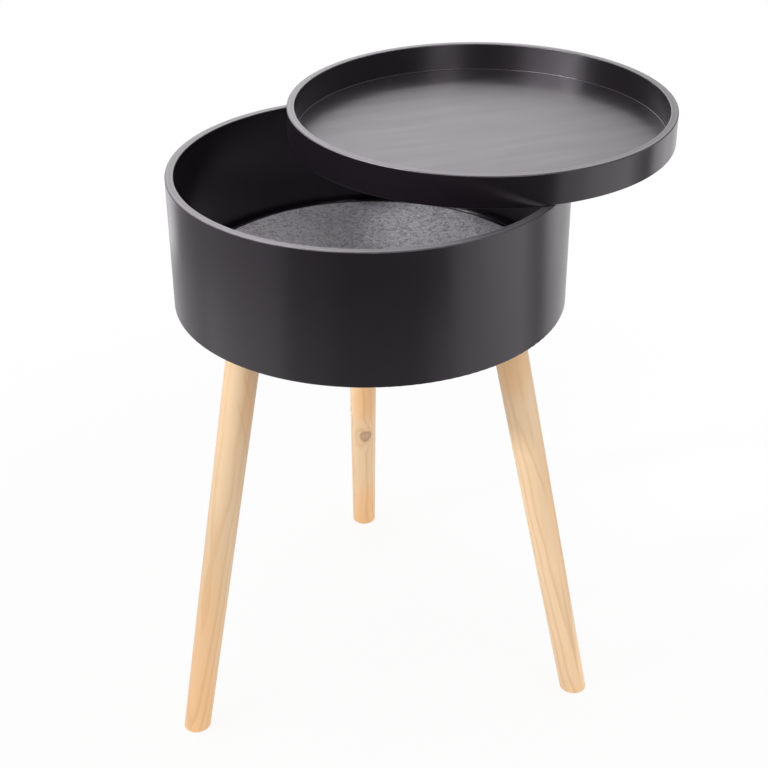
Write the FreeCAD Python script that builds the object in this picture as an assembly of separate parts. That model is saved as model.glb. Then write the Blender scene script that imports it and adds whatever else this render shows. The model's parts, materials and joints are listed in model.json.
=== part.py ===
import FreeCAD, Part
import math
import os

from FreeCAD import Placement, Rotation, Vector

# Storage side table: a round drum on three splayed legs, closed by a loose tray that lifts off.
# Millimetres and degrees. +Z is up, the floor is Z = 0 and the front of the table faces -Y.
# Everything is built around the drum's upright axis, then moved so that the origin lies on the
# floor at the centre of the whole table's outline.

# Drum: a bent plywood ring with its floor panel held in a groove
TABLE_DIAMETER = 380.0
DRUM_FLOOR_CLEARANCE = 435.0  # from the floor up to the ring's lower edge
DRUM_HEIGHT = 130.0
DRUM_WALL = 8.0
EDGE_ROUNDING = 1.0  # every outside edge of the drum and the tray
BASE_RECESS = 5.0  # from the ring's lower edge up to the panel
BASE_THICKNESS = 12.0
BASE_GROOVE_DEPTH = 4.0
PANEL_GLUE_GAP = 0.1  # around the edge of both round panels

# Felt disc glued to the drum's floor panel
FELT_THICKNESS = 3.0
FELT_MARGIN = 9.0  # bare ring left between the felt and the wall
FELT_EDGE_ROUNDING = 0.8

# Tray: a shallower ring with a thin panel let into a rebate at its lower edge, flush below
TRAY_HEIGHT = 31.0
TRAY_WALL = 7.5
TRAY_FLOOR_THICKNESS = 3.0
TRAY_REBATE_DEPTH = 4.0
TRAY_LIP_THICKNESS = 2.0  # the panel's border, thinned to slip under the ring
TRAY_FLOOR_ROUNDING = 0.4  # top edge of the panel, beside the ring
TRAY_SEAT_GAP = 0.3  # lets the loose tray slide over the drum's rim
TRAY_SHIFT = 140.0  # how far the open tray stands off the drum's axis
TRAY_BEARING = 37.7  # direction of that shift, from +X towards +Y

# Legs: tapered and splayed, cut square at the top and level with the floor
LEG_SPREAD_BEYOND_DRUM = 40.0  # from the drum's outside to a straight leg's centre at the floor
LEG_TOP_DIAMETER = 33.5
LEG_FOOT_DIAMETER = 27.0
LEG_TOP_ROUNDING = 1.0
LEG_FOOT_CHAMFER = 1.5
LEG_PLATE_CLEARANCE = 1.0  # from the plate to the high side of the leg's square top
LEG_BEARINGS = {"left": 214.5, "right": 334.9, "rear": 93.3}  # about a third of a turn apart
LEG_TURNS = {"left": 5.0, "right": 9.3, "rear": -1.9}  # each plate is screwed on a little askew
LEG_SHIFTS = {"left": 0.0, "right": 0.0, "rear": 3.3}  # and not quite as far out as the next

# Pressed steel angle plate under the drum floor, one for each leg
PLATE_SIZE = 60.0
PLATE_THICKNESS = 2.5
PLATE_CORNER_RADIUS = 6.0
PLATE_WALL_GAP = 12.0  # from the plate's outer edge to the inside of the drum's ring
DOME_FLARE = 6.0  # how much wider the pressed dome is at its root than at its tilted face

# Captive nut pressed into the dome, and the hanger bolt that joins it to the leg
NUT_FLANGE_RADIUS = 9.0
NUT_FLANGE_THICKNESS = 1.5
NUT_BARREL_RADIUS = 5.2
NUT_DOME_GAP = 2.5  # between the flange and the inside of the dome
BOLT_DIAMETER = 8.0
BOLT_STANDOUT = 10.0  # above the leg's square top
BOLT_DEPTH = 28.0  # into the leg
BOLT_POINT = 5.0
BOLT_END_CHAMFER = 0.8
BORE_CLEARANCE = 0.05  # on the radius, around each bolt, nut and screw
BORE_END_CLEARANCE = 1.5  # past the tip of each bolt and screw
RELIEF_MARGIN = 1.0  # around the nut's flange, in the floor panel

# Pan-head screws that hold each plate, one near each corner
SCREW_DIAMETER = 4.0
SCREW_HEAD_DIAMETER = 8.0
SCREW_HEAD_HEIGHT = 2.4
SCREW_HEAD_ROUNDING = 1.2
SCREW_COVER = 2.5  # wood left above the screw's tip
SCREW_POINT = 3.0
SCREW_EDGE_INSET = 8.0  # from the plate's edge to the screw's centre
CROSS_LENGTH = 4.4
CROSS_WIDTH = 0.9
CROSS_DEPTH = 1.3

# Worked out from the sizes above
DRUM_RADIUS = TABLE_DIAMETER / 2
DRUM_BORE_RADIUS = DRUM_RADIUS - DRUM_WALL
DRUM_RIM = DRUM_FLOOR_CLEARANCE + DRUM_HEIGHT
BASE_UNDERSIDE = DRUM_FLOOR_CLEARANCE + BASE_RECESS
BASE_TOP = BASE_UNDERSIDE + BASE_THICKNESS
TRAY_BOTTOM = DRUM_RIM + TRAY_SEAT_GAP
TRAY_BORE_RADIUS = DRUM_RADIUS - TRAY_WALL
LEG_TOP_REACH = DRUM_BORE_RADIUS - PLATE_WALL_GAP - PLATE_SIZE / 2
LEG_FOOT_REACH = DRUM_RADIUS + LEG_SPREAD_BEYOND_DRUM
LEG_TOP_RADIUS = LEG_TOP_DIAMETER / 2
LEG_FOOT_RADIUS = LEG_FOOT_DIAMETER / 2
LEG_SPLAY = math.atan2(LEG_FOOT_REACH - LEG_TOP_REACH, DRUM_FLOOR_CLEARANCE)
PLATE_UNDERSIDE = BASE_UNDERSIDE - PLATE_THICKNESS
DOME_DROP = LEG_TOP_RADIUS * math.tan(LEG_SPLAY) + LEG_PLATE_CLEARANCE
LEG_TOP = PLATE_UNDERSIDE - DOME_DROP
LEG_TOP_X = LEG_TOP_REACH + (DRUM_FLOOR_CLEARANCE - LEG_TOP) * math.tan(LEG_SPLAY)
BOLT_RADIUS = BOLT_DIAMETER / 2


def disc(radius, bottom, thickness):
    return Part.makeCylinder(radius, thickness, Vector(0, 0, bottom))


def ring(outer_radius, inner_radius, bottom, height):
    return disc(outer_radius, bottom, height).cut(disc(inner_radius, bottom, height))


def edges_at_height(shape, height):
    """The edges that lie flat at one height."""
    def is_flat_there(edge):
        box = edge.BoundBox
        return abs(box.ZMin - height) < 1e-4 and abs(box.ZMax - height) < 1e-4
    return [edge for edge in shape.Edges if is_flat_there(edge)]


def rounded_at(shape, height, radius):
    return shape.makeFillet(radius, edges_at_height(shape, height))


def rounded_square(size, corner_radius, bottom, thickness):
    block = Part.makeBox(size, size, thickness, Vector(-size / 2, -size / 2, bottom))
    uprights = [edge for edge in block.Edges if edge.BoundBox.ZLength > thickness / 2]
    return block.makeFillet(corner_radius, uprights)


# Places used by the parts of one leg. Each is first built for a leg that points along +X.

def on_leg_axis(shape):
    """Move a shape from the origin to the leg's square top, with its +Z up along the leg."""
    tilt = Rotation(Vector(0, 1, 0), -math.degrees(LEG_SPLAY))
    placed = shape.copy()
    placed.Placement = Placement(Vector(LEG_TOP_X, 0, LEG_TOP), tilt).multiply(shape.Placement)
    return placed


def under_plate(shape, x=0.0, y=0.0):
    """Move a shape sideways from the drum's axis to a place on the plate."""
    placed = shape.copy()
    placed.translate(Vector(LEG_TOP_REACH + x, y, 0))
    return placed


def on_side(shape, side):
    """Turn a shape askew about the plate's middle, shift it out, and turn it round to its own side."""
    placed = shape.copy()
    placed.rotate(Vector(LEG_TOP_REACH, 0, 0), Vector(0, 0, 1), LEG_TURNS[side])
    placed.translate(Vector(LEG_SHIFTS[side], 0, 0))
    placed.rotate(Vector(0, 0, 0), Vector(0, 0, 1), LEG_BEARINGS[side])
    return placed


def screw_places():
    corner = PLATE_SIZE / 2 - SCREW_EDGE_INSET
    return [(x, y) for x in (-corner, corner) for y in (-corner, corner)]


# Drum

def make_drum_wall():
    wall = ring(DRUM_RADIUS, DRUM_BORE_RADIUS, DRUM_FLOOR_CLEARANCE, DRUM_HEIGHT)
    wall = wall.cut(disc(DRUM_BORE_RADIUS + BASE_GROOVE_DEPTH, BASE_UNDERSIDE, BASE_THICKNESS))
    wall = rounded_at(wall, DRUM_RIM, EDGE_ROUNDING)
    return rounded_at(wall, DRUM_FLOOR_CLEARANCE, EDGE_ROUNDING)


def make_base_panel():
    radius = DRUM_BORE_RADIUS + BASE_GROOVE_DEPTH - PANEL_GLUE_GAP
    panel = disc(radius, BASE_UNDERSIDE, BASE_THICKNESS)
    relief = make_bolt_relief()
    pilot = make_screw_pilot()
    for side in LEG_BEARINGS:
        panel = panel.cut(on_side(relief, side))
        for x, y in screw_places():
            panel = panel.cut(on_side(under_plate(pilot, x, y), side))
    return panel


def make_bolt_relief():
    """Blind hole in the floor panel, over the nut and the top of the hanger bolt."""
    bolt_top = LEG_TOP + BOLT_STANDOUT * math.cos(LEG_SPLAY) + BOLT_RADIUS * math.sin(LEG_SPLAY)
    depth = bolt_top + BORE_END_CLEARANCE - BASE_UNDERSIDE
    relief = disc(NUT_FLANGE_RADIUS + RELIEF_MARGIN, BASE_UNDERSIDE, depth)
    relief.translate(Vector(LEG_TOP_X - (BASE_UNDERSIDE - LEG_TOP) * math.tan(LEG_SPLAY), 0, 0))
    return relief


def make_screw_pilot():
    length = BASE_THICKNESS - SCREW_COVER + BORE_END_CLEARANCE
    return disc(SCREW_DIAMETER / 2 + BORE_CLEARANCE, BASE_UNDERSIDE, length)


def make_felt_liner():
    felt = disc(DRUM_BORE_RADIUS - FELT_MARGIN, BASE_TOP, FELT_THICKNESS)
    return rounded_at(felt, BASE_TOP + FELT_THICKNESS, FELT_EDGE_ROUNDING)


# Tray, built over the drum's axis and then shifted to where it stands

def shifted_tray_part(shape):
    bearing = math.radians(TRAY_BEARING)
    shape.translate(Vector(TRAY_SHIFT * math.cos(bearing), TRAY_SHIFT * math.sin(bearing), 0))
    return shape


def make_tray_rim():
    rim = ring(DRUM_RADIUS, TRAY_BORE_RADIUS, TRAY_BOTTOM, TRAY_HEIGHT)
    rim = rim.cut(disc(TRAY_BORE_RADIUS + TRAY_REBATE_DEPTH, TRAY_BOTTOM, TRAY_LIP_THICKNESS))
    rim = rounded_at(rim, TRAY_BOTTOM + TRAY_HEIGHT, EDGE_ROUNDING)
    outside = [edge for edge in edges_at_height(rim, TRAY_BOTTOM)
               if abs(edge.Curve.Radius - DRUM_RADIUS) < 1e-4]
    return shifted_tray_part(rim.makeFillet(EDGE_ROUNDING, outside))


def make_tray_floor():
    lip = disc(TRAY_BORE_RADIUS + TRAY_REBATE_DEPTH - PANEL_GLUE_GAP, TRAY_BOTTOM, TRAY_LIP_THICKNESS)
    panel = disc(TRAY_BORE_RADIUS - PANEL_GLUE_GAP, TRAY_BOTTOM, TRAY_FLOOR_THICKNESS)
    panel = rounded_at(panel, TRAY_BOTTOM + TRAY_FLOOR_THICKNESS, TRAY_FLOOR_ROUNDING)
    return shifted_tray_part(panel.fuse(lip).removeSplitter())


# Legs and what joins them to the drum

def make_leg():
    length = LEG_TOP / math.cos(LEG_SPLAY)
    taper = (LEG_TOP_RADIUS - LEG_FOOT_RADIUS) / length
    overrun = LEG_FOOT_DIAMETER  # past the floor, so that the level cut goes all the way through
    end_radius = LEG_FOOT_RADIUS - taper * overrun
    leg = Part.makeCone(LEG_TOP_RADIUS, end_radius, length + overrun, Vector(0, 0, 0), Vector(0, 0, -1))
    leg = rounded_at(leg, 0, LEG_TOP_ROUNDING)
    bore_depth = BOLT_DEPTH + BORE_END_CLEARANCE
    leg = leg.cut(disc(BOLT_RADIUS + BORE_CLEARANCE, -bore_depth, bore_depth))
    leg = on_leg_axis(leg)
    below_floor = Part.makeBox(4 * overrun, 2 * overrun, 2 * overrun,
                               Vector(LEG_FOOT_REACH - 2 * overrun, -overrun, -2 * overrun))
    leg = leg.cut(below_floor)
    return leg.makeChamfer(LEG_FOOT_CHAMFER, edges_at_height(leg, 0))


def dome_loft(root_radius, root_height, face_radius, face_offset):
    """A flared plug from a level circle at the plate to a circle square to the leg."""
    root = Part.Wire(Part.Circle(Vector(LEG_TOP_X, 0, root_height), Vector(0, 0, 1), root_radius).toShape())
    face = Part.Wire(Part.Circle(Vector(0, 0, face_offset), Vector(0, 0, 1), face_radius).toShape())
    return Part.makeLoft([root, on_leg_axis(face)], True, True)


def make_leg_plate():
    face_radius = NUT_FLANGE_RADIUS + NUT_DOME_GAP + PLATE_THICKNESS
    root_radius = face_radius + DOME_FLARE
    plate = under_plate(rounded_square(PLATE_SIZE, PLATE_CORNER_RADIUS, PLATE_UNDERSIDE, PLATE_THICKNESS))
    plate = plate.fuse(dome_loft(root_radius, PLATE_UNDERSIDE, face_radius, 0.0))
    hollow = dome_loft(root_radius - PLATE_THICKNESS, BASE_UNDERSIDE,
                       face_radius - PLATE_THICKNESS, PLATE_THICKNESS)
    plate = plate.cut(hollow)
    nut_hole = disc(NUT_BARREL_RADIUS + BORE_CLEARANCE, -PLATE_THICKNESS, 3 * PLATE_THICKNESS)
    plate = plate.cut(on_leg_axis(nut_hole))
    screw_hole = disc(SCREW_DIAMETER / 2 + BORE_CLEARANCE, PLATE_UNDERSIDE, PLATE_THICKNESS)
    for x, y in screw_places():
        plate = plate.cut(under_plate(screw_hole, x, y))
    return plate.removeSplitter()


def make_leg_nut():
    nut = disc(NUT_BARREL_RADIUS, 0, PLATE_THICKNESS)
    nut = nut.fuse(disc(NUT_FLANGE_RADIUS, PLATE_THICKNESS, NUT_FLANGE_THICKNESS))
    bore = disc(BOLT_RADIUS + BORE_CLEARANCE, 0, PLATE_THICKNESS + NUT_FLANGE_THICKNESS)
    return on_leg_axis(nut.cut(bore))


def make_leg_bolt():
    shank_length = BOLT_STANDOUT + BOLT_DEPTH - BOLT_POINT
    bolt = disc(BOLT_RADIUS, BOLT_POINT - BOLT_DEPTH, shank_length)
    bolt = bolt.makeChamfer(BOLT_END_CHAMFER, edges_at_height(bolt, BOLT_STANDOUT))
    point = Part.makeCone(BOLT_RADIUS / 4, BOLT_RADIUS, BOLT_POINT, Vector(0, 0, -BOLT_DEPTH))
    return on_leg_axis(bolt.fuse(point))


def make_plate_screw():
    shank_length = PLATE_THICKNESS + BASE_THICKNESS - SCREW_COVER - SCREW_POINT
    head_bottom = PLATE_UNDERSIDE - SCREW_HEAD_HEIGHT
    head = disc(SCREW_HEAD_DIAMETER / 2, head_bottom, SCREW_HEAD_HEIGHT)
    head = rounded_at(head, head_bottom, SCREW_HEAD_ROUNDING)
    for length, width in ((CROSS_LENGTH, CROSS_WIDTH), (CROSS_WIDTH, CROSS_LENGTH)):
        corner = Vector(-length / 2, -width / 2, head_bottom)
        head = head.cut(Part.makeBox(length, width, CROSS_DEPTH, corner))
    shank = disc(SCREW_DIAMETER / 2, PLATE_UNDERSIDE, shank_length)
    point_base = Vector(0, 0, PLATE_UNDERSIDE + shank_length)
    point = Part.makeCone(SCREW_DIAMETER / 2, SCREW_DIAMETER / 8, SCREW_POINT, point_base)
    return head.fuse([shank, point])


def make_plate_screws():
    screw = make_plate_screw()
    return Part.makeCompound([under_plate(screw, x, y) for x, y in screw_places()])


# Assembly

parts = {
    "drum_wall": make_drum_wall(),
    "base_panel": make_base_panel(),
    "felt_liner": make_felt_liner(),
    "tray_rim": make_tray_rim(),
    "tray_floor": make_tray_floor(),
}

leg_parts = {
    "leg": make_leg(),
    "leg_plate": make_leg_plate(),
    "leg_nut": make_leg_nut(),
    "leg_bolt": make_leg_bolt(),
    "plate_screws": make_plate_screws(),
}
for side in LEG_BEARINGS:
    for name, shape in leg_parts.items():
        parts[name + "_" + side] = on_side(shape, side)

outline = Part.makeCompound(list(parts.values())).optimalBoundingBox(False, False)
to_origin = Vector(-outline.Center.x, -outline.Center.y, 0)

os.makedirs("parts", exist_ok=True)
for name, shape in parts.items():
    shape.translate(to_origin)
    shape.exportStep(os.path.join("parts", name + ".step"))
    print(name, "solids", len(shape.Solids), "valid", shape.isValid(), "volume", round(shape.Volume))

print("drum axis at", round(to_origin.x, 3), round(to_origin.y, 3))
print("leg splay", round(math.degrees(LEG_SPLAY), 3))
print("box", [round(size, 3) for size in (outline.XLength, outline.YLength, outline.ZMin, outline.ZMax)])
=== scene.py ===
# %% [markdown]
# # A round storage side table
#
# The table is a black drum on three splayed pine legs. A grey felt disc lines the drum, and a
# loose tray closes it. Here the tray stands half off, so that the inside shows.
#
# The solids are already made to size. This lesson gives each of them its finish, adds the soft
# and the small pieces that a solid modeller leaves plain, and lights the table like a product
# picture. Lengths are metres, +Z is up and the front of the table faces -Y.

# %% Load the solids
import json
import math
from collections import namedtuple

import bmesh
import bpy
from mathutils import Matrix, Vector, noise


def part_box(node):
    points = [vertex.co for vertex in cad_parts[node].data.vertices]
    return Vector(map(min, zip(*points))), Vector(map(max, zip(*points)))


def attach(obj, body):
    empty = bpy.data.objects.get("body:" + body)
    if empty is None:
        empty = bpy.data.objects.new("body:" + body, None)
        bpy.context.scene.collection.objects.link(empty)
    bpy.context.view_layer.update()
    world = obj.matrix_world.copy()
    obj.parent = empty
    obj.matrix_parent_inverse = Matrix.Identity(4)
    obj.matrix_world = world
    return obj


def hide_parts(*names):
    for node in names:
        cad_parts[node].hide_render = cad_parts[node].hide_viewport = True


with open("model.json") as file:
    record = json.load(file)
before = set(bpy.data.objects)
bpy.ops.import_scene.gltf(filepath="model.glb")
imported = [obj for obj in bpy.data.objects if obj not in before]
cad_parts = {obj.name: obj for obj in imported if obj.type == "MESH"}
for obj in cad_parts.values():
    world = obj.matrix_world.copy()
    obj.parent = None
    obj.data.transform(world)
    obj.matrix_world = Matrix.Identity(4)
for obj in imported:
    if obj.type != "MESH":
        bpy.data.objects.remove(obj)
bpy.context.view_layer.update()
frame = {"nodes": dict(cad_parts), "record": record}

# %% [markdown]
# ## Measure before making
#
# Every later step needs the drum's and the tray's upright axes and radii. They could be typed
# in, but then a change to the solids would leave them behind. Each ring's own box gives them
# instead, and the points of its mesh give the bore inside it.

# %% Measure the rings
MM = 0.001


def ring_place(node):
    """The middle of a round solid seen from above, and its radius."""
    low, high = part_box(node)
    return (low.xy + high.xy) / 2, (high.x - low.x) / 2


def bore_radius(node):
    """How far the inner wall of a ring is from its axis."""
    ring, axis = frame["nodes"][node], ring_place(node)[0]
    return min(((ring.matrix_world @ point.co).xy - axis).length for point in ring.data.vertices)


def top_of(node):
    """How high a solid reaches."""
    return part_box(node)[1].z


drum_axis, drum_radius = ring_place("drum_wall")
tray_axis, tray_radius = ring_place("tray_rim")
print("drum axis", [round(v, 4) for v in drum_axis], "radius", round(drum_radius, 4))
print("tray axis", [round(v, 4) for v in tray_axis], "radius", round(tray_radius, 4))
print("bores", [round(bore_radius(ring), 4) for ring in ("drum_wall", "tray_rim")])

# %% [markdown]
# ## The camera
#
# A long lens from a standing height keeps the drum's sides nearly parallel. An orthographic
# camera would lose the small convergence of the legs, and a short lens would make it too strong.
# The camera starts level, looking along +Y. It is dipped by 30 degrees, turned half a degree to
# the right and leant by a third of a degree, as a camera held over a table is.

# %% Camera
LENS = 71.587  # mm, on a frame 36 mm wide
CAMERA_FROM_AXIS = 1.3397
CAMERA_HEIGHT = 1.1054
CAMERA_DIP = math.radians(30.096)
CAMERA_TURN = math.radians(0.563)
CAMERA_LEAN = math.radians(-0.340)

camera = bpy.data.objects.new("camera", bpy.data.cameras.new("camera"))
bpy.context.scene.collection.objects.link(camera)
camera.data.lens = LENS
camera.matrix_world = (
    Matrix.Translation((drum_axis.x, drum_axis.y - CAMERA_FROM_AXIS, CAMERA_HEIGHT))
    @ Matrix.Rotation(-CAMERA_TURN, 4, "Z")
    @ Matrix.Rotation(math.pi / 2 - CAMERA_DIP, 4, "X")
    @ Matrix.Rotation(CAMERA_LEAN, 4, "Z")
)
bpy.context.scene.camera = camera
bpy.context.scene.view_settings.view_transform = "Standard"
print("camera at", [round(v, 3) for v in camera.matrix_world.translation])

# %% [markdown]
# ## Shader maths in Python
#
# Every finish below is made of nodes, because nodes keep their detail at any distance. Wiring
# them one by one hides the sum behind the plumbing. The class below wraps one output of a node,
# so that `1 - mask` or `grain * 0.2` adds the Math node by itself. Any other node comes from
# `node`.

# %% A socket that can be used in sums
class Wire:
    """One output of a shader node."""

    def __init__(self, tree, socket=None):
        self.tree = tree
        self.socket = socket

    def node(self, kind, settings=None, sockets=None, output=0):
        """Add a node: first its settings, then the values or links of its sockets."""
        made = self.tree.nodes.new(kind)
        for name, value in (settings or {}).items():
            setattr(made, name, value)
        for name, value in (sockets or {}).items():
            if isinstance(value, Wire):
                self.tree.links.new(value.socket, made.inputs[name])
            else:
                made.inputs[name].default_value = value
        return Wire(self.tree, made.outputs[output] if made.outputs else None)

    def math(self, operation, first, second=0.0):
        return self.node("ShaderNodeMath", {"operation": operation}, {0: first, 1: second})

    def vector(self, operation, other, output=0):
        ends = {0: self, 1: other}
        return self.node("ShaderNodeVectorMath", {"operation": operation}, ends, output)

    def __add__(self, other):
        return self.math("ADD", self, other)

    def __sub__(self, other):
        return self.math("SUBTRACT", self, other)

    def __rsub__(self, other):
        return self.math("SUBTRACT", other, self)

    def __mul__(self, other):
        return self.math("MULTIPLY", self, other)

    def __truediv__(self, other):
        return self.math("DIVIDE", self, other)

    def __rtruediv__(self, other):
        return self.math("DIVIDE", other, self)

    __radd__ = __add__
    __rmul__ = __mul__


print("operators:", [name for name in vars(Wire) if name.startswith("__r")])

# %% [markdown]
# A few small helpers on top of it say what the finishes need. These begin a finish and say where
# a point is, how far it is from another, and how a value passes a soft threshold. Positions are
# read in millimetres, so a number such as 40 can be held against a ruler.

# %% Helpers for places and thresholds
def new_finish(name):
    """An empty material, and a wire to start its nodes from."""
    material = bpy.data.materials.new(name)
    material.use_nodes = True
    material.node_tree.nodes.clear()
    return material, Wire(material.node_tree)


def position(start):
    """The point on the piece, in millimetres."""
    metres = start.node("ShaderNodeTexCoord", output="Object")
    return metres.vector("MULTIPLY", (1 / MM,) * 3)


def diagonal(aside, above):
    """How far a point is from another that lies so far to its side and so far above it."""
    return aside.math("SQRT", aside * aside + above * above)


def between(value, low, high):
    """0 below low, 1 above high, and a soft step from one to the other."""
    limits = {"Value": value, "From Min": low, "From Max": high}
    return value.node("ShaderNodeMapRange", {"interpolation_type": "SMOOTHSTEP"}, limits)


print("helpers:", [helper.__name__ for helper in (new_finish, position, diagonal, between)])

# %% [markdown]
# The next three mix two colours, make noise and close a finish. Noise could be set by its scale,
# but a scale says nothing about the piece. A size does: orange peel is a millimetre or two
# across, and the clouds in it are as wide as three fingers.

# %% Helpers for colour, noise and relief
def mixed(mask, below, above):
    """The colour below where the mask is 0 and above where it is 1."""
    below, above = [(*end, 1) if isinstance(end, tuple) else end for end in (below, above)]
    return mask.node("ShaderNodeMix", {"data_type": "RGBA"}, {0: mask, 6: below, 7: above}, 2)


def blobs(place, sizes, seed, detail=2.0):
    """Noise from 0 to 1 whose blobs are about that many millimetres across, along each axis."""
    squeezed = place.vector("MULTIPLY", tuple(1 / size for size in sizes))
    values = {"Vector": squeezed, "W": float(seed), "Scale": 1.0, "Detail": detail}
    return place.node("ShaderNodeTexNoise", {"noise_dimensions": "4D"}, values)


def surface(start, colour, roughness, height, others):
    """Close a finish: its colour, roughness, relief in millimetres, and its other settings."""
    relief = start.node("ShaderNodeBump", {}, {"Height": height, "Distance": MM})
    sockets = {"Base Color": colour, "Roughness": roughness, "Normal": relief}
    sockets.update(others)
    shader = start.node("ShaderNodeBsdfPrincipled", {}, sockets)
    start.node("ShaderNodeOutputMaterial", {}, {"Surface": shader})


print("helpers:", [helper.__name__ for helper in (mixed, blobs, surface)])

# %% [markdown]
# ## A plain white room
#
# A black table is mostly seen by what it mirrors. A room that is white all round would turn its
# wall milky from edge to edge, and a grey room would make pale pine look dirty. Studios keep the
# room white and lay something dark where only the wall looks. That comes after the floor.
#
# The world is white wherever the camera or a reflection looks at it. For light that lands on the
# table it is a touch weaker, which leaves the lamps some room before pale pine begins to glare.

# %% World
ROOM_LIGHT = 0.97
WHITE = (1, 1, 1, 1)

world = bpy.data.worlds.new("white_room")
bpy.context.scene.world = world
world.use_nodes = True
world.node_tree.nodes.clear()


def looked_at(start):
    """1 for rays of the camera, of reflections and through glass, and 0 for all other light."""
    kinds = ("Is Camera Ray", "Is Glossy Ray", "Is Transmission Ray")
    path = start.node("ShaderNodeLightPath")
    rays = [Wire(path.tree, path.socket.node.outputs[kind]) for kind in kinds]
    return start.math("MINIMUM", rays[0] + rays[1] + rays[2], 1.0)


start = Wire(world.node_tree)
strength = ROOM_LIGHT + (1 - ROOM_LIGHT) * looked_at(start)
sky = start.node("ShaderNodeBackground", {}, {"Color": WHITE, "Strength": strength})
start.node("ShaderNodeOutputWorld", {}, {"Surface": sky})
print("world light", ROOM_LIGHT)

# %% [markdown]
# The floor is a wide pale disc. A bare white floor would come out grey where the lamps fall off,
# so most of what the eye gets from it is its own white, and only the rest is lit. That lit share
# carries the soft shadows of the legs. Further out nothing stands on it, and it is all its own.

# %% Floor
FLOOR_RADIUS = 6.0
FLOOR_PAINT = (0.9, 0.9, 0.9, 1)
OWN_WHITE_NEAR = 0.88
SHADOW_REACH = (0.45, 1.1)  # shadows begin to fade at the first distance and end at the second


def mesh_object(name, mesh, material):
    """Turn a finished bmesh into an object of the scene."""
    data = bpy.data.meshes.new(name)
    mesh.to_mesh(data)
    mesh.free()
    data.shade_smooth()
    data.materials.append(material)
    made = bpy.data.objects.new(name, data)
    bpy.context.scene.collection.objects.link(made)
    return made


floor_finish, start = new_finish("pale_floor")
place = start.node("ShaderNodeTexCoord", output="Object")
from_table = place.vector("DISTANCE", (*drum_axis, 0), 1)
own_share = OWN_WHITE_NEAR + (1 - OWN_WHITE_NEAR) * between(from_table, *SHADOW_REACH)
lit = start.node("ShaderNodeBsdfDiffuse", {}, {"Color": FLOOR_PAINT})
own = start.node("ShaderNodeEmission", {}, {"Color": WHITE, "Strength": 1.0})
both = start.node("ShaderNodeMixShader", {}, {0: own_share * looked_at(start), 1: lit, 2: own})
start.node("ShaderNodeOutputMaterial", {}, {"Surface": both})

mesh = bmesh.new()
bmesh.ops.create_circle(mesh, cap_ends=True, radius=FLOOR_RADIUS, segments=96)
floor = mesh_object("floor", mesh, floor_finish)
print("floor radius", FLOOR_RADIUS)

# %% [markdown]
# From above, the upright walls mirror the floor around the table and not the walls of the room.
# So a dark cloth lies on the floor in front, and bright and grey cards lie at the sides. They
# give the walls their bands. A wall's lower edge mirrors the floor near the table and its upper
# edge the floor further off, so each card has a near half and a far half. The cloth is a shade
# lighter near the table: that lets the front wall fall off towards the rim.
#
# All of them are seen by reflections alone, so they cast no light and hide nothing. Angles are
# turned from the table's front to the viewer's right, and a glow of 1 is the white of the room.

# %% Cards on the floor
CARD_NEAR, CARD_MIDDLE, CARD_FAR = 0.22, 1.15, 2.3  # from the drum's axis
CARD_PAPER = (1.0, 0.974, 1.01, 1.0)  # coated paper, a trace more violet than white
CARD_STEPS = 12
FLOOR_CARDS = {  # left edge, right edge, glow of the near half, glow of the far half
    "bright_card_left": (-150, -131, 0.85, 1.70),
    "grey_card_left": (-131, -98, 0.75, 0.50),
    "pale_card_left": (-98, -45, 1.21, 0.58),
    "cloth_edge_left": (-45, -20, 0.66, 0.11),
    "cloth_front": (-20, 30, 0.45, 0.0),
    "cloth_edge_right": (30, 43.5, 0.86, 0.0),
    "pale_card_right": (43.5, 60, 1.16, 1.20),
    "bright_card_right": (60, 92, 1.26, 1.70),
    "dim_card_right": (92, 99, 0.79, 0.85),
    "grey_card_right": (99, 110, 0.41, 0.37),
    "bright_card_back": (110, 130, 0.95, 1.40),
}


def card_mesh(left, right, inner, outer):
    """A flat sector of the floor around the drum."""
    mesh = bmesh.new()
    pairs = []
    for step in range(CARD_STEPS + 1):
        angle = math.radians(left + (right - left) * step / CARD_STEPS)
        way = Vector((math.sin(angle), -math.cos(angle)))
        ends = [drum_axis + way * reach for reach in (inner, outer)]
        pairs.append([mesh.verts.new((*end, MM)) for end in ends])
    for (near, far), (next_near, next_far) in zip(pairs, pairs[1:]):
        mesh.faces.new((near, far, next_far, next_near))
    return mesh


def floor_card(name, left, right, inner, outer, glow):
    """A card that only reflections see, as bright as glow times white."""
    finish, start = new_finish(name)
    face = start.node("ShaderNodeEmission", {}, {"Color": CARD_PAPER, "Strength": glow})
    start.node("ShaderNodeOutputMaterial", {}, {"Surface": face})
    card = mesh_object(name, card_mesh(left, right, inner, outer), finish)
    for kind in ("camera", "diffuse", "transmission", "volume_scatter", "shadow"):
        setattr(card, "visible_" + kind, False)


for name, (left, right, near_glow, far_glow) in FLOOR_CARDS.items():
    floor_card(name + "_near", left, right, CARD_NEAR, CARD_MIDDLE, near_glow)
    floor_card(name + "_far", left, right, CARD_MIDDLE, CARD_FAR, far_glow)
print("floor cards:", len(FLOOR_CARDS), "pairs")

# %% [markdown]
# ## Lamps that are mirrored and lamps that light
#
# The lamps that count most here are seen by reflections only. Two wide ones behind the table are
# what the tray's floor mirrors, and a long low one over them is for the rims. Two strips show
# once more in the far wall of the tray, where their light comes by way of its floor. Two mirrors
# in a row take most of it, so they are bright, and the left one hangs close to the tray: from
# further off it would glare in the whole floor of the tray as soon as somebody walks round the
# table. One soft key lamp at the front left does light the legs, and gives them their shape.
#
# Each lamp is placed by its turn from the table's front, its rise and its distance from the
# point that it is aimed at. It is named by its glow, where 1 is the white of the room, because a
# lamp's power says little until it is shared over its area.

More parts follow.
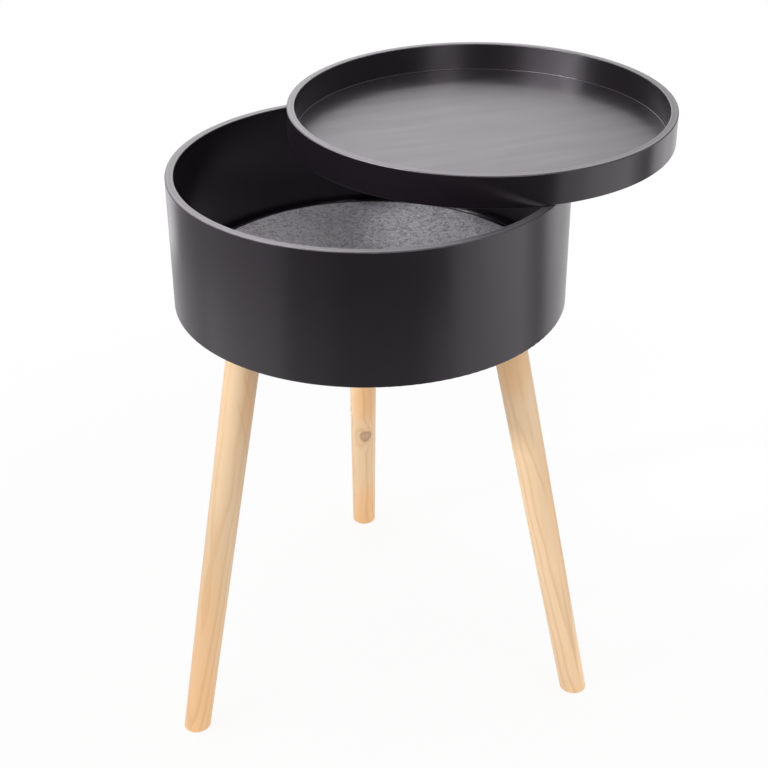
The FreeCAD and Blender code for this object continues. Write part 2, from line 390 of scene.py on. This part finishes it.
# %% Lamps
TABLE_MIDDLE = (0, 0, 0.5)  # seen from above, and as high as the middle of the drum
TRAY_FAR_SIDE = (tray_axis.x + 80 * MM, tray_axis.y + 140 * MM, top_of("tray_floor"))
LAMP_CLOTH = (1.0, 0.972, 1.0)  # the same trace of violet


def put_lamp(lamp, turn, rise, distance, aim):
    """Hang a lamp by two angles in degrees and a distance, and aim it."""
    turn, rise = math.radians(turn), math.radians(rise)
    level_way = Vector((math.sin(turn), -math.cos(turn), 0)) * math.cos(rise)
    away = level_way + Vector((0, 0, math.sin(rise)))
    lamp.location = Vector(aim) + distance * away
    lamp.rotation_euler = away.to_track_quat("Z", "Y").to_euler()
    lamp.visible_camera = False
    bpy.context.scene.collection.objects.link(lamp)
    place = [round(v, 2) for v in lamp.location]
    print(lamp.name, "at", place, "power", round(lamp.data.energy, 2))


def soft_lamp(name, turn, rise, distance, width, height, glow, aim=TABLE_MIDDLE):
    """A rectangular lamp as bright as glow times white."""
    lamp = bpy.data.objects.new(name, bpy.data.lights.new(name, "AREA"))
    lamp.data.shape = "RECTANGLE"
    lamp.data.size = width
    lamp.data.size_y = height
    lamp.data.energy = glow * math.pi * width * height
    put_lamp(lamp, turn, rise, distance, aim)
    return lamp


def mirrored_lamp(name, **placing):
    """A soft lamp that only reflections see."""
    lamp = soft_lamp(name, **placing)
    lamp.visible_diffuse = False
    lamp.data.color = LAMP_CLOTH


mirrored_lamp("back_lamp", turn=193, rise=21, distance=2.0, width=1.8, height=0.8, glow=0.95)
mirrored_lamp("tall_back_lamp", turn=190, rise=22, distance=2.05, width=2.2, height=1.7, glow=1.0)
mirrored_lamp("rim_lamp", turn=182, rise=29.5, distance=2.05, width=1.6, height=0.22, glow=2.15)
soft_lamp("key_lamp", turn=-60, rise=26, distance=2.1, width=0.8, height=0.8, glow=2.0)
mirrored_lamp("left_strip", turn=-51, rise=28, distance=0.5, width=0.24, height=0.2, glow=28,
              aim=TRAY_FAR_SIDE)
mirrored_lamp("front_strip", turn=23, rise=20, distance=2.2, width=0.8, height=0.8, glow=13)

# %% [markdown]
# The felt lies deep in the drum and half under the tray, and hardly any light of the room
# reaches it. A stronger room would bleach the legs before it helped. Two narrow lamps do better:
# their beams skim over the drum's rim, so they light the felt and not the legs. The second one
# comes in so low that it also gets under the tray.

# %% Lamps for the felt
BEAM_SOFTNESS = 0.4


def felt_point(right, back):
    """A point on the felt, in millimetres from its middle."""
    middle = ring_place("felt_liner")[0] + Vector((right, back)) * MM
    return (*middle, top_of("felt_liner"))


def narrow_lamp(name, turn, rise, distance, aim, radius, beam, level):
    """A lamp with a beam of so many degrees. A face turned to it is lit as level times white."""
    lamp = bpy.data.objects.new(name, bpy.data.lights.new(name, "SPOT"))
    lamp.data.shadow_soft_size = radius
    lamp.data.spot_size = math.radians(beam)
    lamp.data.spot_blend = BEAM_SOFTNESS
    lamp.data.energy = level * 4 * math.pi ** 2 * distance ** 2
    put_lamp(lamp, turn, rise, distance, aim)


narrow_lamp("felt_lamp_left", turn=-64, rise=27.2, distance=2.2, aim=felt_point(85, 105),
            radius=0.25, beam=9.5, level=2.0)
narrow_lamp("felt_lamp_front", turn=4, rise=24.5, distance=2.2, aim=felt_point(5, 170),
            radius=0.03, beam=2.8, level=0.27)

# %% [markdown]
# ## Black lacquer over plywood
#
# The rings are bent plywood and the panels are thin board, all sprayed satin black. Sprayed
# lacquer is never quite even: it keeps a fine orange peel, it is mistier in some places than in
# others, and bent ply under it is a little wavy. Rounded edges are painted a shade lighter,
# partly as rubbed lacquer and partly as a painted sheen.
#
# A flat black with one roughness would read as plastic. A scratch picture would have to be drawn
# and stretched. Noise in the right sizes does both jobs and follows the shape from every side.

# %% Sprayed lacquer
LACQUER_BLACK = (0.0070, 0.0052, 0.0074)
LACQUER_WEAR_AND_SHEEN = (0.030, 0.029, 0.031)
LACQUER_GLOSS = {"IOR": 1.515, "Specular Tint": (0.99, 0.95, 1.0, 1.0)}
PEEL_HEIGHT = 0.0015  # mm
WAVE_HEIGHT = 0.06  # mm


def facing_up(start):
    """1 on a face that looks up, 0 on an upright one and -1 on one that looks down."""
    facing = start.node("ShaderNodeTexCoord", output="Normal")
    return start.node("ShaderNodeSeparateXYZ", {}, {0: facing}, 2)


def sprayed(start, satin):
    """Plain sprayed black: its colour, its roughness around satin, and its relief."""
    place = position(start)
    up = facing_up(start)
    level = up * up  # 1 on a level face, 0 on an upright one, and between them on a rounded edge
    rounded = between(4 * level * (1 - level), 0.3, 0.95)
    # Rounded edges are painted a shade lighter: partly rubbed lacquer, partly a painted sheen.
    wear_and_sheen = rounded * between(blobs(place, (9, 9, 9), 5, 4.0), 0.35, 0.7)
    peel = blobs(place, (1.6, 1.6, 1.6), 2)
    mist = blobs(place, (45, 45, 45), 3, 3.0)
    wave = blobs(place, (70, 70, 160), 4, 1.0)
    colour = mixed(wear_and_sheen, LACQUER_BLACK, LACQUER_WEAR_AND_SHEEN)
    return colour, satin + 0.05 * (mist - 0.5), PEEL_HEIGHT * peel + WAVE_HEIGHT * wave


print("satin black:", LACQUER_BLACK, "rubbed:", LACQUER_WEAR_AND_SHEEN)

# %% [markdown]
# A bent ring shows its plies where it was sawn level, at the rim. The plies drink the lacquer
# unevenly, so the rim is paler and duller than the wall, with darker core plies in it. The plies
# are bent with the ring, so the distance from its axis tells which ply a point lies in. The
# rounded shoulders of the rim are rubbed dull as well, or each would carry a hard white line.

# %% Lacquer on the rings
LACQUER_ON_PLY = (0.056, 0.053, 0.058)
LACQUER_ON_CORE = (0.028, 0.026, 0.029)
SAWN_ROUGHNESS = 0.38
SHOULDER_RUBBED = 0.2  # roughness that a rubbed shoulder gains
PLY_PAIR = 4.2  # mm from one core ply to the next
CORE_INSET = 4.7  # mm from the ring's outside to its middle core ply


def core_plies(start, axis, radius):
    """1 in the middle of a core ply and 0 between two of them, for a ring around an axis."""
    flat = position(start).vector("MULTIPLY", (1, 1, 0))
    from_axis = flat.vector("DISTANCE", (*(axis / MM), 0), 1)
    from_core = from_axis - (radius / MM - CORE_INSET)
    return start.math("COSINE", from_core * (2 * math.pi / PLY_PAIR)) * 0.5 + 0.5


def ring_lacquer(name, axis, radius, satin):
    """Lacquer on a bent ring around an axis, with the plies at its rim."""
    material, start = new_finish(name)
    colour, roughness, relief = sprayed(start, satin)
    up = facing_up(start)
    sawn = between(up * up, 0.25, 0.75)
    shoulder = between(up, 0.15, 0.4) * (1 - between(up, 0.8, 0.95))
    core = core_plies(start, axis, radius)
    colour = mixed(sawn, colour, mixed(core, LACQUER_ON_PLY, LACQUER_ON_CORE))
    duller = sawn * (SAWN_ROUGHNESS - satin + 0.03 * core) + SHOULDER_RUBBED * shoulder
    surface(start, colour, roughness + duller, relief, LACQUER_GLOSS)
    return material


def refinish(node, material):
    """Give a solid its finish in place of the plain one."""
    data = frame["nodes"][node].data
    data.materials.clear()
    data.materials.append(material)


refinish("drum_wall", ring_lacquer("lacquer_drum", drum_axis, drum_radius, satin=0.26))
refinish("tray_rim", ring_lacquer("lacquer_tray", tray_axis, tray_radius, satin=0.21))
print("lacquered rings, with a core ply every", PLY_PAIR, "mm")

# %% [markdown]
# On the panels the wood's grain telegraphs through the lacquer as long faint streaks, which come
# and go and waver a little. Where the grain is close the lacquer stands on top of it and shines,
# so there the finish has a thin coat as well. The tray's panel lies with its grain almost across
# the table.

# %% Lacquer on the panels
GRAIN_HEIGHT = 0.03  # mm


def grain_streaks(start, axis, sizes, turn):
    """Long blobs from 0 to 1, turned around an axis, and as long, wide and thick as sizes says."""
    place = position(start)
    turned = {"Vector": place, "Center": (*(axis / MM), 0), "Angle": math.radians(turn)}
    grainwise = start.node("ShaderNodeVectorRotate", {"rotation_type": "Z_AXIS"}, turned)
    drift = blobs(place, (80, 80, 80), 6, 1.0) * 16
    wavering = grainwise.vector("ADD", start.node("ShaderNodeCombineXYZ", {}, {1: drift}))
    comes_and_goes = between(blobs(place, (85, 85, 85), 7, 1.0), 0.38, 0.62)
    return 0.5 + (blobs(wavering, sizes, 1, 3.0) - 0.5) * (0.25 + 0.75 * comes_and_goes)


def panel_lacquer(name, axis, satin, sizes, turn, grainy):
    """Lacquer on a panel. grainy is how much of the roughness the grain takes away or adds."""
    material, start = new_finish(name)
    colour, roughness, relief = sprayed(start, satin)
    streak = grain_streaks(start, axis, sizes, turn)
    standing = between(streak, 0.35, 0.7) * (2 * grainy)
    gloss = {**LACQUER_GLOSS, "Coat Weight": standing, "Coat Roughness": satin}
    roughness = roughness + grainy * (streak - 0.5)
    surface(start, colour, roughness, relief + GRAIN_HEIGHT * grainy * streak, gloss)
    return material


refinish("base_panel", panel_lacquer("lacquer_base", drum_axis, satin=0.35,
                                     sizes=(140, 9, 9), turn=70, grainy=0.10))
refinish("tray_floor", panel_lacquer("lacquer_tray_floor", tray_axis, satin=0.40,
                                     sizes=(190, 15, 15), turn=-20, grainy=0.12))
print("lacquered panels: base_panel and tray_floor")

# %% [markdown]
# ## Pine legs
#
# Each leg is turned from one pine board. Its grain runs along the leg because the board's growth
# rings do, and the turning cuts through them at a slant, which leaves long streaks and here and
# there a slanting line. A wood picture wrapped round the leg would show a seam and could not
# give the sawn foot its arcs. So the wood is made in the round, in the leg's own directions: to
# its right, to its front and up along it from the foot. The foot's mount and the bolt in the
# leg's top give them.

# %% Where each leg lies
SIDES = ("left", "right", "rear")
LEG_GIRTH = 15.0  # mm from the leg's middle to its surface, halfway up
LEG_LENGTH = 440.0  # mm
MOUNTS = {mount["name"]: mount["pos_m"] for mount in frame["record"]["mounts"]}

LegPlace = namedtuple("LegPlace", "across deep height turned wood")


def leg_frame(side):
    """The foot's centre, and the directions to the leg's right, to its front and along it."""
    foot = Vector(MOUNTS["foot_" + side])
    low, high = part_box("leg_bolt_" + side)
    along = ((low + high) / 2 - foot).normalized()
    front = (Vector((0, -1, 0)) + along * along.y).normalized()
    return foot, along.cross(front), front, along


def leg_place(start, side):
    """A point of a leg in millimetres, and its turn from the leg's front in degrees."""
    foot, *ways = leg_frame(side)
    from_foot = position(start).vector("SUBTRACT", tuple(foot / MM))
    across, deep, height = [from_foot.vector("DOT_PRODUCT", tuple(way), 1) for way in ways]
    turned = start.math("ARCTAN2", across, deep) * math.degrees(1)
    wood = start.node("ShaderNodeCombineXYZ", {}, {0: across, 1: deep, 2: height})
    return LegPlace(across, deep, height, turned, wood)


for side in SIDES:
    splay = math.degrees(math.acos(leg_frame(side)[-1].z))
    print(side, "leg splays", round(splay, 2), "degrees")

# %% [markdown]
# Three things make one leg differ from the next. A knot is a branch that the leg was cut across:
# a brown disc with rings of its own, and grain that flows round it. A slant is where the turning
# cut one late line of the wood at a shallow angle, and heartwood shows as wide patches of
# orange. Each needs only a height on the leg and a turn from its front, to the right.

# %% Knots, slants and heartwood
PINE_LATE = (0.66, 0.40, 0.19)
KNOT_BROWN = (0.47, 0.29, 0.19)
KNOT_RIM = (0.30, 0.16, 0.09)

Knot = namedtuple("Knot", "height turn half_width half_height")
Slant = namedtuple("Slant", "top top_turn bottom bottom_turn width strength")
Heart = namedtuple("Heart", "height turn half_height half_turn strength")


def around_leg(degrees):
    """How far round the leg a turn is, in millimetres."""
    return degrees * (math.radians(1) * LEG_GIRTH)


def knot_reach(at, knot, seed):
    """How far a point is from a knot's middle, where 1 is the edge of the knot."""
    aside = around_leg(at.turned - knot.turn) / knot.half_width
    above = (at.height - knot.height) / knot.half_height
    return diagonal(aside, above) + 0.5 * (blobs(at.wood, (7, 7, 7), seed, 2.0) - 0.5)


def with_knot(colour, reach):
    """Late wood crowded round the knot, the knot's own brown rings, and its dark rim."""
    crowded = 0.40 * (1 - between(reach, 0.8, 2.2))
    brown = (1 - between(reach, 0.6, 1.2)) * (0.62 + 0.1 * reach.math("SINE", reach * 14.0))
    rim = 0.45 * between(reach, 0.5, 0.9) * (1 - between(reach, 0.9, 1.3))
    for mask, shade in ((crowded, PINE_LATE), (brown, KNOT_BROWN), (rim, KNOT_RIM)):
        colour = mixed(mask, colour, shade)
    return colour


def slant_mask(at, slant, wander):
    """The slanting line, which wanders a little and fades at both ends."""
    down = (slant.top - at.height) / (slant.top - slant.bottom)
    line = slant.top_turn + (slant.bottom_turn - slant.top_turn) * down + 14 * wander
    beside = around_leg(down.math("ABSOLUTE", at.turned - line))
    ends = between(down, -0.2, 0.15) * (1 - between(down, 0.8, 1.2))
    return slant.strength * ends * (1 - between(beside, 0.2 * slant.width, slant.width))


def heart_mask(at, heart, wander):
    """A patch of heartwood with soft and wandering sides."""
    beside = (at.turned - heart.turn + 40 * wander) / heart.half_turn
    above = (at.height - heart.height) / heart.half_height
    return heart.strength * (1 - between(diagonal(beside, above), 0.45, 1.25))


print("late wood:", PINE_LATE, "knots:", KNOT_BROWN)

# %% [markdown]
# The growth rings are distance from a far pith line, cut into years. Each year goes slowly from
# pale early wood to a thin tan line of late wood. The pith of each leg lies elsewhere and leans
# its own way, so no two legs look alike. A ring swings round a knot, as the grain does there.

# %% Growth rings
def season_of_growth(at, knot_reaches, pith, lean, ring, seed):
    """0 where a year's growth begins and 1 where it ends."""
    bend = 7.0 * (blobs(at.wood, (45, 45, 260), seed, 2.0) - 0.5)
    for reach in knot_reaches:
        bend = bend + 6.0 * (1 - between(reach, 0.6, 4.0))
    aside = at.across - pith[0] - lean[0] * at.height
    before = at.deep - pith[1] - lean[1] * at.height
    uneven = 0.8 * blobs(at.wood, (60, 60, 60), seed + 1, 1.0)
    return bend.math("FRACT", (diagonal(aside, before) + bend) / ring + uneven)


print("season:", season_of_growth.__doc__)

# %% [markdown]
# Over the rings lie fine fibres, faint clouds and resin canals. Each leg is painted darker towards
# its top, a painted shade where the drum above keeps light off, and the sawn end has drunk more
# lacquer. The finish lays one over the other as the wood has them: the board, its heartwood, its
# late wood and fibres, and the marks last.

# %% Pine finish
PINE_EARLY = (0.86, 0.62, 0.385)
PINE_WARM = (0.86, 0.50, 0.235)
PINE_SHADE = (0.80, 0.57, 0.35)
SOAKED_END = 12.0  # mm from the foot that drank more lacquer


def toned_with_top_shade(at, colour, tone_and_top_shade):
    """A colour that darkens from the foot to the top of the leg: painted shade under the drum."""
    foot, top = [tuple(part * share for part in colour) for share in tone_and_top_shade]
    return mixed(at.height / LEG_LENGTH, foot, top)


def pine(side, tone_and_top_shade, pith, lean, ring, seed, knots=(), slants=(), hearts=()):
    """Clear-lacquered pine for one leg.

    The pair of tones says how pale the board is at the foot and at the top; the lower one at the
    top is painted shade under the drum. ring is the width of a year. pith is where the tree's
    middle lies, to the leg's right and front at the foot, and lean is how far it drifts for each
    millimetre up the leg.
    """
    material, start = new_finish("pine_" + side)
    at = leg_place(start, side)
    reaches = [knot_reach(at, knot, seed + 9) for knot in knots]
    season = season_of_growth(at, reaches, pith, lean, ring, seed)
    late = between(season, 0.45, 0.92) * (1 - between(season, 0.92, 1.0))
    fibre = blobs(at.wood, (0.55, 0.55, 38), seed + 2, 3.0)
    streak = blobs(at.wood, (3.5, 3.5, 150), seed + 3, 3.0)
    cloud = blobs(at.wood, (26, 26, 170), seed + 4, 2.0)
    canal = between(blobs(at.wood, (0.5, 0.5, 7), seed + 5, 1.0), 0.74, 0.82)
    wander = blobs(at.wood, (14, 14, 55), seed + 6, 2.0) - 0.5
    soaked = between(SOAKED_END - at.height, 0.0, SOAKED_END)

    woods = (PINE_EARLY, PINE_SHADE, PINE_WARM)
    # Each colour is painted darker towards the top of the leg, as shade under the drum.
    early, shade, warm = [toned_with_top_shade(at, wood, tone_and_top_shade) for wood in woods]
    colour = mixed(between(cloud, 0.35, 0.7), early, shade)
    for heart in hearts:
        colour = mixed(heart_mask(at, heart, wander), colour, warm)
    colour = mixed(late * (0.20 + 0.40 * streak), colour, PINE_LATE)
    colour = mixed(0.24 * between(fibre, 0.47, 0.75), colour, PINE_LATE)
    colour = mixed(0.25 * canal, colour, KNOT_BROWN)
    for slant in slants:
        colour = mixed(slant_mask(at, slant, wander), colour, PINE_LATE)
    for reach in reaches:
        colour = with_knot(colour, reach)
    colour = mixed(0.20 * soaked, colour, warm)

    roughness = 0.46 + 0.08 * (fibre - 0.5) - 0.05 * late
    relief = 0.010 * fibre - 0.012 * late - 0.02 * canal
    surface(start, colour, roughness, relief, {"IOR": 1.45})
    return material


print("pine, pale to tan:", PINE_EARLY, PINE_LATE)

# %% [markdown]
# With the finish made, each leg is one call: where its pith lay, and the few marks that a person
# would know it by. Heights are millimetres up from the foot, and turns are degrees.

# %% The three legs
# Each leg's pair of tones: the board at the foot, and a lower one at the top that is painted shade
# under the drum.
legs = {
    "left": pine(
        "left", tone_and_top_shade=(1.08, 0.80), pith=(-46, 60), lean=(0.10, 0.02), ring=6.5, seed=11,
        slants=[Slant(405, 8, 375, 47, 2.0, 0.55), Slant(373, 4, 315, 72, 2.2, 0.45)],
        hearts=[Heart(70, -20, 150, 90, 0.6), Heart(10, 20, 75, 90, 0.5),
                Heart(400, 50, 70, 45, 0.5)],
    ),
    "right": pine(
        "right", tone_and_top_shade=(1.13, 0.90), pith=(50, 52), lean=(-0.09, 0.03), ring=7.5, seed=23,
        slants=[Slant(339, -19, 250, 36, 2.0, 0.35), Slant(149, 34, 16, 38, 2.0, 0.45)],
        hearts=[Heart(405, -10, 45, 80, 0.65), Heart(20, 0, 80, 90, 0.15),
                Heart(215, 50, 110, 25, 0.35)],
    ),
    "rear": pine(
        "rear", tone_and_top_shade=(1.16, 0.88), pith=(30, -70), lean=(0.05, 0.04), ring=6.0, seed=37,
        knots=[Knot(155, 10, 6.5, 8.0), Knot(191, -74, 1.6, 3.2)],
        hearts=[Heart(215, 15, 45, 70, 0.8), Heart(18, 20, 60, 90, 0.85)],
    ),
}
for side in SIDES:
    refinish("leg_" + side, legs[side])
print("pine legs:", sorted(legs))

# %% [markdown]
# ## Zinc-plated fittings
#
# The angle plates, the nuts, the hanger bolts and the screws are bright zinc on pressed steel.
# Zinc is a metal, so its colour tints its reflection. It is cloudy at the scale of a fingertip,
# finely grained from rolling, and passivated with a trace of blue and yellow.

# %% Zinc finish
ZINC_BLUE = (0.56, 0.58, 0.62)
ZINC_YELLOW = (0.64, 0.62, 0.57)
FITTINGS = ("leg_plate_", "leg_nut_", "leg_bolt_", "plate_screws_")


def zinc_plate():
    """Bright and slightly cloudy zinc."""
    material, start = new_finish("zinc_plate")
    place = position(start)
    tint = between(blobs(place, (14, 14, 14), 51, 3.0), 0.3, 0.7)
    cloud = blobs(place, (5, 5, 5), 52, 4.0)
    rolled = blobs(place, (0.25, 9, 0.25), 53, 2.0)
    colour = mixed(tint, ZINC_BLUE, ZINC_YELLOW)
    roughness = 0.30 + 0.16 * (cloud - 0.5) + 0.08 * (rolled - 0.5)
    surface(start, colour, roughness, 0.006 * cloud + 0.003 * rolled, {"Metallic": 1.0})
    return material


zinc = zinc_plate()
for side in SIDES:
    for kind in FITTINGS:
        refinish(kind + side, zinc)
print("zinc-plated:", len(SIDES) * len(FITTINGS))

# %% [markdown]
# ## Felt lining
#
# The lining is needle felt, three millimetres thick, cut with a punch and glued down. It is laid
# flat, so nothing is gained by a cloth simulation. What a plain disc lacks is the slightly
# uneven top, the soft cut edge and the look of felt: grey out of light and dark fibres lying
# every way.

# %% Felt outline
FELT_STEPS = 90  # rings from its edge to its middle
FELT_EDGE = 0.9 * MM  # radius of the soft corner

felt_axis, felt_radius = ring_place("felt_liner")
felt_bottom, felt_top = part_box("felt_liner")[0].z, top_of("felt_liner")
felt_thickness = felt_top - felt_bottom


def felt_profile():
    """How far in and how high: up the cut edge, over its soft corner and in to the middle."""
    corner = felt_thickness - FELT_EDGE
    profile = [(0.0, 0.0), (0.0, 0.35 * felt_thickness), (0.0, corner)]
    for angle in (math.radians(30), math.radians(60), math.radians(90)):
        profile.append((FELT_EDGE * (1 - math.cos(angle)), corner + FELT_EDGE * math.sin(angle)))
    inner = felt_radius - FELT_EDGE
    for step in range(1, FELT_STEPS):
        profile.append((FELT_EDGE + inner * step / FELT_STEPS, felt_thickness))
    return profile


print("felt", round(2 * felt_radius / MM), "mm across,", round(felt_thickness / MM, 1), "mm thick")

# %% [markdown]
# The outline is carried round as rings of points. A punch leaves the edge a little ragged, and
# felt is never quite level on top: it rises and falls in wide waves with small ones on them.
# Noise that is read at each point gives both, and it needs no sculpting.

# %% Felt disc
FELT_TURNS = 320  # points round the disc
FELT_GAP = 0.3 * MM  # between the felt and its full size, so that the ragged edge stays inside
RAGGED = 0.35 * MM  # how far the cut edge strays
RAGGED_REACH = 3 * MM  # how far in from the edge it shows
RAGGED_TURNS = 24  # how many times it strays on a radian
WAVES = ((0.35 * MM, 16 * MM), (0.12 * MM, 3 * MM))  # how high the top's waves are, and how long


def felt_place(way, inset, up):
    """Where a point of the felt lies, with its ragged edge and its uneven top."""
    ragged = RAGGED * noise.noise(way * RAGGED_TURNS) if inset < RAGGED_REACH else 0
    point = way * (felt_radius - inset - FELT_GAP + ragged)
    lift = sum(high * noise.noise(point / long) for high, long in WAVES) * up / felt_thickness
    return felt_axis.x + point.x, felt_axis.y + point.y, felt_bottom + up + lift


def felt_mesh():
    """A thin disc as rings of points."""
    angles = [2 * math.pi * turn / FELT_TURNS for turn in range(FELT_TURNS)]
    ways = [Vector((math.cos(angle), math.sin(angle), 0)) for angle in angles]
    mesh = bmesh.new()
    rings = []
    for inset, up in felt_profile():
        rings.append([mesh.verts.new(felt_place(way, inset, up)) for way in ways])
    for outer, inner in zip(rings, rings[1:]):
        for here in range(FELT_TURNS):
            there = (here + 1) % FELT_TURNS
            mesh.faces.new((outer[here], outer[there], inner[there], inner[here]))
    mesh.faces.new(rings[-1])
    mesh.faces.new(list(reversed(rings[0])))
    return mesh


print("felt waves, in mm:", [(round(high / MM, 2), round(long / MM)) for high, long in WAVES])

# %% [markdown]
# Each layer of fibres is noise pulled long in one direction. Several directions laid over each
# other cross as real fibres do. A wide soft noise underneath is the uneven mix of the two wools.

# %% Felt finish
FELT_GREY = (0.506, 0.486, 0.531)
FELT_LIGHT = (0.78, 0.759, 0.805)
FELT_DARK = (0.09, 0.084, 0.10)
FELT_WARM = (0.515, 0.49, 0.49)
FIBRE_LAYERS = 5


def grey_felt():
    """Heathered needle felt."""
    material, start = new_finish("grey_felt")
    place = position(start)
    light = between(blobs(place, (3.2, 3.2, 3.2), 83, 2.0), 0.58, 0.70)
    dark = between(blobs(place, (3.0, 3.0, 3.0), 84, 2.0), 0.56, 0.68)
    for layer in range(FIBRE_LAYERS):
        turn = {"Vector": place, "Angle": math.radians(17 + 180 / FIBRE_LAYERS * layer)}
        turned = start.node("ShaderNodeVectorRotate", {"rotation_type": "Z_AXIS"}, turn)
        pale = between(blobs(turned, (8.0, 1.8, 1.8), 61 + layer, 2.0), 0.62, 0.72)
        black = between(blobs(turned, (7.0, 2.0, 2.0), 71 + layer, 2.0), 0.60, 0.70)
        light = start.math("MAXIMUM", light, pale)
        dark = start.math("MAXIMUM", dark, black)
    patch = blobs(place, (8, 8, 8), 81, 3.0)
    tint = blobs(place, (38, 38, 38), 85, 2.0)
    colour = mixed(between(tint, 0.5, 0.75), FELT_GREY, FELT_WARM)
    colour = mixed(0.42 * between(patch, 0.45, 0.66), colour, FELT_DARK)
    colour = mixed(0.72 * dark, colour, FELT_DARK)
    colour = mixed(0.72 * light, colour, FELT_LIGHT)
    fuzz = blobs(place, (0.6, 0.6, 0.6), 82, 4.0)
    relief = 0.25 * light + 0.12 * fuzz + 0.2 * patch
    surface(start, colour, 0.95, relief, {"Sheen Weight": 0.15, "Sheen Roughness": 0.5})
    return material


felt = mesh_object("felt_lining", felt_mesh(), grey_felt())
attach(felt, "base")
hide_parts("felt_liner")
cut, area = 2 * felt_radius, math.pi * felt_radius ** 2
print("felt points:", len(felt.data.vertices))

# %% [markdown]
# ## Lacquer in the corners
#
# Where a panel meets its ring, sprayed lacquer gathers in the corner and dries as a small hollow
# bead. It closes the joint and catches a thin line of light. A bevel on the solids could not do
# it, because they are separate pieces. One hollow section, carried round each corner, does.

# %% Corner beads
BEAD_SIZE = 0.6 * MM
BEAD_TUCK = 0.15 * MM  # how far it reaches into the ring and the panel
BEAD_TURNS = 256
BEAD_SATIN = 0.20


def bead_section(radius, height):
    """The bead's outline in the corner: its back and foot, and its hollow quarter round."""
    section = [(radius + BEAD_TUCK, height - BEAD_TUCK), (radius + BEAD_TUCK, height + BEAD_SIZE)]
    for step in (0, 18, 36, 54, 72, 90):
        inwards = 1 - math.cos(math.radians(step))
        above = 1 - math.sin(math.radians(step))
        section.append((radius - BEAD_SIZE * inwards, height + BEAD_SIZE * above))
    return section + [(radius - BEAD_SIZE, height - BEAD_TUCK)]


def bead_mesh(axis, radius, height):
    """The section, carried round the corner."""
    section = bead_section(radius, height)
    mesh = bmesh.new()
    rings = []
    for turn in range(BEAD_TURNS):
        angle = 2 * math.pi * turn / BEAD_TURNS
        x, y = math.cos(angle), math.sin(angle)
        rings.append([mesh.verts.new((axis.x + r * x, axis.y + r * y, z)) for r, z in section])
    for here, there in zip(rings, rings[1:] + rings[:1]):
        for near in range(len(section)):
            far = (near + 1) % len(section)
            mesh.faces.new((here[near], there[near], there[far], here[far]))
    bmesh.ops.recalc_face_normals(mesh, faces=mesh.faces)
    return mesh


beads = {
    "tray": (tray_axis, bore_radius("tray_rim"), top_of("tray_floor")),
    "base": (drum_axis, bore_radius("drum_wall"), top_of("base_panel")),
}
for body, corner in beads.items():
    finish, start = new_finish("lacquer_bead_" + body)
    # sprayed() paints the bead's hollow a shade lighter: rubbed lacquer, and a painted sheen on
    # its line of light.
    surface(start, *sprayed(start, BEAD_SATIN), LACQUER_GLOSS)
    bead = mesh_object("lacquer_bead_" + body, bead_mesh(*corner), finish)
    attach(bead, body)
print("beads:", sorted(beads))

# %% [markdown]
# ## The sizes
#
# The finish never changes the table's size.
